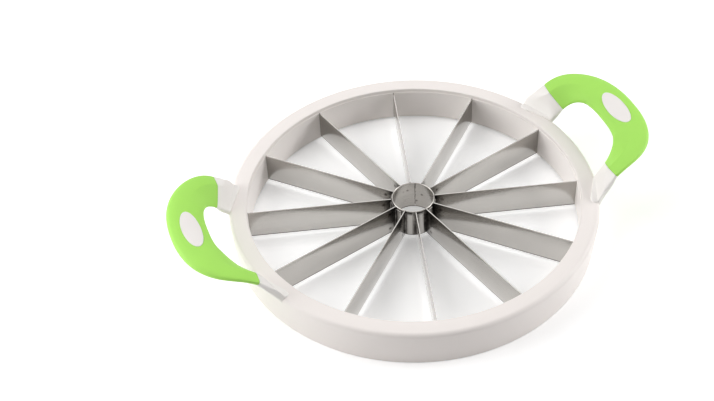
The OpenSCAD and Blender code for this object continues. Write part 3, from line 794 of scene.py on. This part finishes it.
class Handle:
    """The right handle as a rounded band between an outer and an inner edge.

    Places along it: 0 is the grip's middle, 1 its end, 2 the ring's wall and 3 the lip's edge.
    To the other side they are negative."""

    # Columns from the outer edge to the crest, on to the inner edge, and back underneath
    COLUMNS = (18, 24, 34)
    # The columns are spaced evenly over this many samples of each stretch
    SAMPLES = 260
    # How far inside the ring's outer edge the loops are centred, and the roots start
    LOOP_IN, ROOT_IN = 0.005, 0.0002
    # Depth of the roots' edges below the ring's top
    ROOT_SINK = 0.0017
    # Squareness of a loop from above and the angle where it ends, how far in from its tip it
    # starts to fall, how far inside the ring's wall the fall ends, and how late it falls
    OUTER = (2.34, 87.0, 0.0127, 0.002, 3.15)
    INNER = (2.74, 74.5, 0.002, 0.0003, 1.28)
    # At the grip, the arms and the roots: sharpness of the crest and its place across the band
    CREASE = (0.0, 0.74, 0.12)
    CREST = (-0.12, 0.28, 0.5)
    # Squareness of the section in the grip and at the roots
    ROUND, BOXED = 2.42, 6.0

    def __init__(self, sizes, ring_r, ring_h):
        self.sizes, self.ring_r = sizes, ring_r
        along = np.array([-math.sin(sizes.lip_turn), math.cos(sizes.lip_turn)])
        self.root_in = self.wall_point(sizes.finger_w / 2 + self.ROOT_IN)
        self.root_out = self.wall_point(sizes.arm_span / 2 + sizes.root_flare)
        self.lip_in = self.root_in - np.array([sizes.lip_lap, -self.ROOT_IN])
        lip_length = (self.root_out[1] - self.lip_in[1]) / along[1]
        self.lip_tip = self.lip_in + along * lip_length
        self.lip_out = self.lip_in + along * (lip_length - sizes.lip_corner)
        self.loop_x = ring_r - self.LOOP_IN
        self.out_z = ring_h + sizes.rise
        self.in_z = self.out_z - sizes.dip
        self.root_z = ring_h - self.ROOT_SINK
        self.root_crown = self.ROOT_SINK + sizes.lip_proud

    def wall_point(self, y):
        """A point just inside the ring's wall, seen from above."""
        return np.array([math.sqrt((self.ring_r - self.ROOT_IN) ** 2 - y ** 2), y])

    def loop(self, reach, half, square, degrees):
        """A point of the rounded loop seen from above."""
        turn = math.radians(degrees)
        return np.array([self.loop_x + reach * math.cos(turn) ** (2 / square),
                         half * math.sin(turn) ** (2 / square)])

    def edge(self, place, outer):
        """A point of the outer or inner edge in space."""
        sizes, along = self.sizes, abs(place)
        square, end, fall_from, fall_to, late = self.OUTER if outer else self.INNER
        tip = self.ring_r + (sizes.reach if outer else sizes.finger_gap)
        half = (sizes.arm_span if outer else sizes.finger_w) / 2
        root, top = (self.root_out, self.out_z) if outer else (self.root_in, self.in_z)
        if along <= 1:
            point = self.loop(tip - self.loop_x, half, square, end * along)
        elif along <= 2:
            point = mix(self.loop(tip - self.loop_x, half, square, end), root, along - 1)
        elif outer:
            # The lip's outer corner is a curve pulled towards its tip
            point = mix(mix(root, self.lip_tip, along - 2),
                        mix(self.lip_tip, self.lip_out, along - 2), along - 2)
        else:
            point = mix(root, self.lip_in, along - 2)
        start, stop = tip - fall_from, root[0] - fall_to
        fall = min(1.0, max(0.0, (start - point[0]) / (start - stop))) ** late
        # The arm's slope runs on over the ring and ends at the lip's edge
        run_on = sizes.lip_fall * (smooth(2 * along - 3) if along < 2 else 3 - along)
        return np.array([point[0], math.copysign(point[1], place),
                         top - (top - self.root_z) * fall + run_on])

    def section(self, place, inset):
        """One closed section, with a column on its crest and one on each edge."""
        sizes, along = self.sizes, abs(place)
        # The grip's form starts to pass into the arm's at 0.4, the arm's into the root's at 1
        to_arm, to_root = smooth((along - 0.4) / 0.6), smooth(along - 1)
        outer, inner = self.edge(place, True), self.edge(place, False)
        ahead, behind = ((self.edge(near, True) + self.edge(near, False)) / 2
                         for near in (place + 0.02, place - 0.02))
        up = np.cross(outer - inner, ahead - behind)
        up = mix(up / np.linalg.norm(up), np.array([0.0, 0.0, 1.0]), to_root)
        up /= np.linalg.norm(up)
        width = np.linalg.norm(outer - inner)
        across, half, middle = (outer - inner) / width, width / 2 - inset, (outer + inner) / 2

        def blend(grip, arm, root):
            return mix(mix(grip, arm, to_arm), root, to_root)

        crease, crest = blend(*self.CREASE), blend(*self.CREST)
        crown = blend(sizes.grip_crown, sizes.arm_crown, self.root_crown)
        belly = mix(sizes.grip_belly, sizes.arm_belly, to_arm)
        gusset = sizes.gusset * min(1.0, max(0.0, along - 1)) ** 3
        # The arms' sides turn upright, below the edges sooner than above them
        square = mix(self.ROUND, self.BOXED, smooth(2 * along - 3))
        low_square = mix(self.ROUND, self.BOXED, smooth((along - 0.9) / 0.6))
        crest_turn = math.acos(float(signed_power(crest, square / 2)))
        rim = []
        for start, stop, count in zip((0, crest_turn, math.pi), (crest_turn, math.pi, TAU),
                                      self.COLUMNS):
            turns, below = np.linspace(start, stop, self.SAMPLES), stop == TAU
            power = 2 / (low_square if below else square)
            x, y = signed_power(np.cos(turns), power), np.abs(np.sin(turns)) ** power
            if below:
                height = -y * (belly + gusset * np.abs((x + 1) / 2) ** 1.5 - inset)
            else:
                ridge = 1 - np.abs(x - crest) / (1 - crest * np.sign(x - crest))
                height = (crown - inset) * (y * (1 - crease) + crease * ridge)
            run = np.concatenate([[0], np.cumsum(np.hypot(np.diff(x * half), np.diff(height)))])
            even = np.linspace(0, run[-1], count + 1)[:-1]
            rim += list(zip(np.interp(even, run, x), np.interp(even, run, height)))
        return [middle + across * half * x + up * height for x, height in rim]

    def skin(self, rows, closed=False):
        """Points and faces through sections given as rows of place and inset."""
        points = [point for place, inset in rows for point in self.section(place, inset)]
        return points, bands(len(rows), sum(self.COLUMNS), closed=closed)


def rows_between(start, stop, count, inset):
    """Rows of a skin at even steps with one inset."""
    return [(float(place), inset) for place in np.linspace(start, stop, count)]


def mirrored(rows):
    """The same rows on the handle's other side, in the order that leads to the first ones."""
    return [(-place, inset) for place, inset in reversed(rows)]


def current_handle(scene):
    """The handle rule with the scene's sizes."""
    return Handle(scene.slicer_handle, scene.slicer_ring.outer_r, scene.slicer_ring.height)


def keep_crease(mesh, rows):
    """Leaves the crease along each arm crisp, from the skin's end to over the lip."""
    around, column = sum(Handle.COLUMNS), Handle.COLUMNS[0]
    crisp = [1.0 <= abs(place) <= 2.6 for place, _ in rows]
    for edge in mesh.edges:
        a, b = sorted(edge.vertices)
        if a % around == column and b - a == around and crisp[a // around] and crisp[b // around]:
            edge.use_edge_sharp = True


class SLICER_OT_handles(bpy.types.Operator):
    """Make the two white handle cores with their arms and lips"""
    bl_idname = "slicer.handles"
    bl_label = "Handles"

    def execute(self, context):
        scene = context.scene
        white = moulded_abs("moulded_abs_handle", scene.slicer_finishes.handle)
        # The lips' ends are rounded over their last rows
        lip_end = [(2.94, 0.0), (2.965, 0.00005), (2.985, 0.00014), (3.0, 0.0003)]
        arm = rows_between(1, 2, 34, 0.0) + rows_between(2, 2.88, 19, 0.0)[1:] + lip_end
        rows = mirrored(arm) + rows_between(-1, 1, 60, scene.slicer_handle.skin_t) + arm
        points, faces = current_handle(scene).skin(rows)
        # The left handle is the right one, half a turn round
        for side, sign in (("right", 1), ("left", -1)):
            shell = mesh_object("handle_shell_" + side,
                                [(sign * x, sign * y, z) for x, y, z in points], faces)
            settle(shell, white, "handle_white", "handle_core_" + side)
            keep_crease(shell.data, rows)
        return {"FINISHED"}


def oval_frame(sizes, ring_r, out_z):
    """Centre and axes of the oval inlay: along X of the oval, along Y, and out of the skin."""
    tilt = math.atan2(sizes.dip, sizes.reach - sizes.finger_gap)
    centre = Vector((ring_r + sizes.reach - sizes.inlay_set, 0.0,
                     out_z - sizes.inlay_set * math.tan(tilt)))
    turn = Matrix.Rotation(-tilt, 3, "Y")
    return centre, turn @ Vector((1, 0, 0)), Vector((0, 1, 0)), turn @ Vector((0, 0, 1))


def oval_points(place, half_w, half_l, lift):
    """Points of an oval, lifted out of the oval's plane."""
    centre, x_axis, y_axis, out = place
    return [centre + x_axis * (half_w * x) + y_axis * (half_l * y) + out * lift
            for x, y, _ in ring_of(1.0, OVAL_SIDES)]


def oval_plug(name, place, sizes, skin):
    """The inlay: a domed oval that follows the skin, with a rounded edge and a short skirt."""
    half_w, half_l, out = sizes.inlay_w / 2, sizes.inlay_l / 2, place[3]
    edge_r, above = 0.0004, 0.02
    # Rows of points: share of the oval, how far it is pulled in, and height over the skin
    rows = [(share, 0.0, sizes.inlay_proud) for share in (0.12, 0.3, 0.48, 0.64, 0.78, 0.9, 0.96)]
    rows += [(1.0, edge_r * (1 - math.sin(t)), sizes.inlay_proud - edge_r * (1 - math.cos(t)))
             for t in np.radians(np.linspace(0, 90, 6))]
    rows += [(1.0, 0.0, 0.0001 - sizes.skin_t)]
    points = []
    for share, pull, height in rows:
        for start in oval_points(place, (half_w - pull) * share, (half_l - pull) * share, above):
            hit = skin.ray_cast(start, -out)[0]
            if hit is None:
                raise RuntimeError("the oval inlay misses the grip's skin")
            points.append(hit + out * height)
    return mesh_object(name, points, bands(len(rows), OVAL_SIDES))


class SLICER_OT_grips(bpy.types.Operator):
    """Make the two soft green skins and their oval inlays"""
    bl_idname = "slicer.grips"
    bl_label = "Grips"

    def execute(self, context):
        scene = context.scene
        handle, sizes = current_handle(scene), scene.slicer_handle
        rubber = soft_touch_rubber("soft_touch_rubber", scene.slicer_finishes.grip)
        inlay_white = moulded_abs("moulded_abs_inlay", scene.slicer_finishes.inlay,
                                  rough=(0.40, 0.52))
        # The skin ends just short of the arm, and is rounded over the last part of its length
        last, bend = 0.9985, 0.012
        end = [(last - bend * (1 - math.sin(t)), sizes.joint_r * (1 - math.cos(t)))
               for t in np.radians(np.linspace(0, 90, 5))]
        even = last - 1.6 * bend
        rows = (mirrored(end) + rows_between(-even, even, 110, 0.0) + end
                + rows_between(last, -last, 60, sizes.skin_t - THIN_GAP))
        points, faces = handle.skin(rows, closed=True)
        surface = BVHTree.FromPolygons([Vector(point) for point in points], faces)
        place = oval_frame(sizes, scene.slicer_ring.outer_r, handle.out_z)
        window = (sizes.inlay_w / 2 + sizes.inlay_gap, sizes.inlay_l / 2 + sizes.inlay_gap)
        # The window is cut from just above the core to well above the skin
        cutter = mesh_object("oval_cutter", [point for lift in (-0.0002, 0.012)
                                             for point in oval_points(place, *window, lift)],
                             bands(2, OVAL_SIDES))
        # The left grip is the right one, half a turn round
        for side, turn in (("right", 0.0), ("left", math.pi)):
            skin = mesh_object("grip_skin_" + side, points, faces)
            face_outwards(skin.data)
            cut_away(skin, cutter)
            plug = oval_plug("oval_plug_" + side, place, sizes, surface)
            settle(skin, rubber, "grip_green", "grip_" + side)
            settle(plug, inlay_white, "inlay_white", "oval_inlay_" + side)
            for made in (skin, plug):
                made.data.transform(Matrix.Rotation(turn, 4, "Z"))
        remove(cutter)
        return {"FINISHED"}


# Screws

def screw_blank(sizes, seat_z):
    """A pan-head screw, head down, with a cross recess; its head seats at the given height."""
    head_r, shank_r, dome_r, steps = sizes.head_d / 2, sizes.shank_d / 2, 0.0006, 24
    low, tip_z = seat_z - sizes.head_h, seat_z + sizes.shank_l
    rings = arc(head_r - dome_r, low + dome_r, dome_r, -90, 0, 4)
    rings += [(head_r, seat_z), (shank_r, seat_z), (shank_r, tip_z - sizes.point_l),
              (shank_r / 3, tip_z)]
    blank = mesh_object("screw_blank", [point for r, z in rings for point in ring_of(r, steps, z)],
                        bands(len(rings), steps))
    # The recess narrows inwards; its cutter starts as far below the head as it goes in
    half_w, deep, reach = sizes.recess_w / 2, sizes.recess_deep, sizes.head_d / 3
    cross = [(a * x - b * y, b * x + a * y, z)
             for z, end in ((low - deep, 1.15 * reach), (low + deep, 0.6 * reach))
             for a, b in ((1, 0), (0, 1), (-1, 0), (0, -1))
             for x, y in ((end, -half_w), (end, half_w), (half_w, half_w))]
    recess = mesh_object("recess", cross, bands(2, 12))
    cut_away(blank, recess)
    make_plain(blank)
    remove(recess)
    return blank


class SLICER_OT_screws(bpy.types.Operator):
    """Make the screws that hold the closing ring and the handles"""
    bl_idname = "slicer.screws"
    bl_label = "Screws"

    def execute(self, context):
        scene = context.scene
        sizes = scene.slicer_screws
        zinc = plated_steel("zinc_plated_screw", scene.slicer_finishes.screw)
        tree = fasteners_tree()
        rim_box, handle_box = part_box("rim_screws"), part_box("handle_screws")
        head_r = sizes.head_d / 2
        rim_places = ring_of(rim_box[1].x - head_r, sizes.rim_count)
        handle_places = [(a * (handle_box[1].x - head_r), b * (handle_box[1].y - head_r), 0.0)
                         for a in (-1, 1) for b in (-1, 1)]
        for name, node, places, box, seed in (
                ("rim_fasteners", "rim_screws", rim_places, rim_box, 3),
                ("handle_fasteners", "handle_screws", handle_places, handle_box, 8)):
            blank = screw_blank(sizes, box[0].z + sizes.head_h)
            repeated(name, places, tree, blank, zinc, "screw_steel", node, Seed=seed)
        return {"FINISHED"}


# Stage

def area_light(name, turn, tilt, size, power):
    """A soft box that looks at the slicer from a direction round it and a height angle."""
    lamp = bpy.data.lights.new(name, "AREA")
    lamp.shape, lamp.size, lamp.size_y, lamp.energy = "RECTANGLE", size[0], size[1], power
    made = placed(name, lamp)
    aim, distance = Vector((0.0, 0.0, 0.02)), 1.3
    away = Vector((math.cos(tilt) * math.cos(turn), math.cos(tilt) * math.sin(turn),
                   math.sin(tilt)))
    made.location = aim + distance * away
    made.rotation_euler = (-away).to_track_quat("-Z", "Y").to_euler()


def studio_floor(base):
    """Plain floor, lifted to white where the camera or the metal sees it, with its shadows kept."""
    made, tree, shader, coords = shaded("studio_floor", Base_Color=base, Roughness=0.9,
                                        Specular_IOR_Level=0.1)
    path = add(tree, "ShaderNodeLightPath").outputs
    in_metal = add(tree, "ShaderNodeMath", {0: path["Is Glossy Ray"], 1: 0.6},
                   operation="MULTIPLY")
    # Past the lamps' reach the lift grows, so that the floor meets the backdrop in white
    away = add(tree, "ShaderNodeVectorMath", {0: coords}, operation="LENGTH")
    to_eye = add(tree, "ShaderNodeMapRange",
                 {"Value": away.outputs["Value"], 1: 0.3, 2: 0.9, 3: 0.30, 4: 1.0},
                 interpolation_type="SMOOTHSTEP")
    seen = add(tree, "ShaderNodeMath",
               {0: path["Is Camera Ray"], 1: path["Is Transmission Ray"]}, operation="MAXIMUM")
    lift = add(tree, "ShaderNodeMath", {0: seen, 1: to_eye, 2: in_metal},
               operation="MULTIPLY_ADD")
    glow = add(tree, "ShaderNodeEmission", {"Strength": lift})
    both = add(tree, "ShaderNodeAddShader", {0: shader, 1: glow})
    feed(tree, tree.nodes["Material Output"], {"Surface": both})
    return made


def studio_world():
    """White where the camera, metal or glass sees it, and a faint even fill for the rest."""
    world = bpy.data.worlds.new("studio")
    world.use_nodes = True
    tree = world.node_tree
    tree.nodes.clear()
    path = add(tree, "ShaderNodeLightPath").outputs
    seen = add(tree, "ShaderNodeMath",
               {0: path["Is Camera Ray"], 1: path["Is Glossy Ray"]}, operation="MAXIMUM")
    seen = add(tree, "ShaderNodeMath", {0: seen, 1: path["Is Transmission Ray"]},
               operation="MAXIMUM")
    fill, white = (add(tree, "ShaderNodeBackground",
                       {"Color": (1.0, 1.0, 1.0, 1.0), "Strength": strength})
                   for strength in (0.02, 1.0))
    either = add(tree, "ShaderNodeMixShader", {0: seen, 1: fill, 2: white})
    add(tree, "ShaderNodeOutputWorld", {"Surface": either}, is_active_output=True)
    return world


def photo_camera():
    """The camera, placed from the ring's ellipses and the blade ends in the photograph."""
    ahead = Vector((0.2280, 0.6851, -0.6919)).normalized()
    level = Vector((ahead.y, -ahead.x, 0.0)).normalized()
    above, roll = level.cross(ahead), math.radians(-3.227)
    right = level * math.cos(roll) + above * math.sin(roll)
    up = above * math.cos(roll) - level * math.sin(roll)
    place = Vector((-0.22837, -0.56806, 0.60973))
    data = bpy.data.cameras.new("camera")
    data.sensor_fit, data.sensor_width, data.lens = "HORIZONTAL", 36.0, 64.22
    made = placed("camera", data)
    made.matrix_world = (Matrix.Translation(place)
                         @ Matrix((right, up, -ahead)).transposed().to_4x4())
    return made


class SLICER_OT_stage(bpy.types.Operator):
    """Make the floor, the studio light and the camera"""
    bl_idname = "slicer.stage"
    bl_label = "Stage"

    def execute(self, context):
        scene, floor_z, half = context.scene, CAD_BOX[0].z, 3.0
        floor = mesh_object("floor", [(-half, -half, floor_z), (half, -half, floor_z),
                                      (half, half, floor_z), (-half, half, floor_z)],
                            [(0, 1, 2, 3)])
        floor.data.materials.append(studio_floor(scene.slicer_finishes.floor))
        scene.world = studio_world()
        # Low soft boxes on both sides, one behind and one above; none beside the camera
        for name, turn, tilt, size, power in (
                ("right_softbox", -15, 16, (1.0, 0.6), 3.8),
                ("right_high_softbox", -15, 33, (0.6, 0.5), 5.8),
                ("right_front_softbox", -45, 20, (0.8, 0.6), 1.4),
                ("left_softbox", 165, 16, (1.0, 0.6), 7.8),
                ("left_high_softbox", 165, 45, (1.0, 0.8), 7.6),
                ("back_softbox", 75, 50, (1.6, 1.2), 4.2),
                ("top_softbox", 75, 84, (1.2, 1.2), 2.6)):
            area_light(name, math.radians(turn), math.radians(tilt), size, power)
        scene.camera = photo_camera()
        scene.view_settings.view_transform = "Standard"
        return {"FINISHED"}


class SLICER_PT_panel(bpy.types.Panel):
    """Sizes, finishes and pieces of the watermelon slicer"""
    bl_label = "Watermelon slicer"
    bl_idname = "SLICER_PT_panel"
    bl_space_type = "VIEW_3D"
    bl_region_type = "UI"
    bl_category = "Slicer"

    def draw(self, context):
        for name in GROUPS:
            group, box = getattr(context.scene, name), self.layout.box()
            box.label(text=name.removeprefix("slicer_").capitalize())
            for value in group.__annotations__:
                box.prop(group, value)
        for operator in OPERATORS:
            self.layout.operator(operator.bl_idname)


GROUPS = {"slicer_ring": RingSizes, "slicer_blades": BladeSizes, "slicer_tube": TubeSizes,
          "slicer_handle": HandleSizes, "slicer_screws": ScrewSizes, "slicer_finishes": Finishes}
OPERATORS = (SLICER_OT_ring, SLICER_OT_blades, SLICER_OT_core_tube, SLICER_OT_handles,
             SLICER_OT_grips, SLICER_OT_screws, SLICER_OT_stage)


def register():
    """Registers the property groups, operators and panel."""
    for kind in (*GROUPS.values(), *OPERATORS, SLICER_PT_panel):
        bpy.utils.register_class(kind)
    for name, kind in GROUPS.items():
        setattr(bpy.types.Scene, name, PointerProperty(type=kind))


def unregister():
    """Removes them again."""
    for name in GROUPS:
        delattr(bpy.types.Scene, name)
    for kind in reversed((*GROUPS.values(), *OPERATORS, SLICER_PT_panel)):
        bpy.utils.unregister_class(kind)


def main():
    """Makes every piece and the stage."""
    register()
    bpy.ops.slicer.ring()
    bpy.ops.slicer.blades()
    bpy.ops.slicer.core_tube()
    bpy.ops.slicer.handles()
    bpy.ops.slicer.grips()
    bpy.ops.slicer.screws()
    bpy.ops.slicer.stage()


if __name__ == "__main__":
    main()
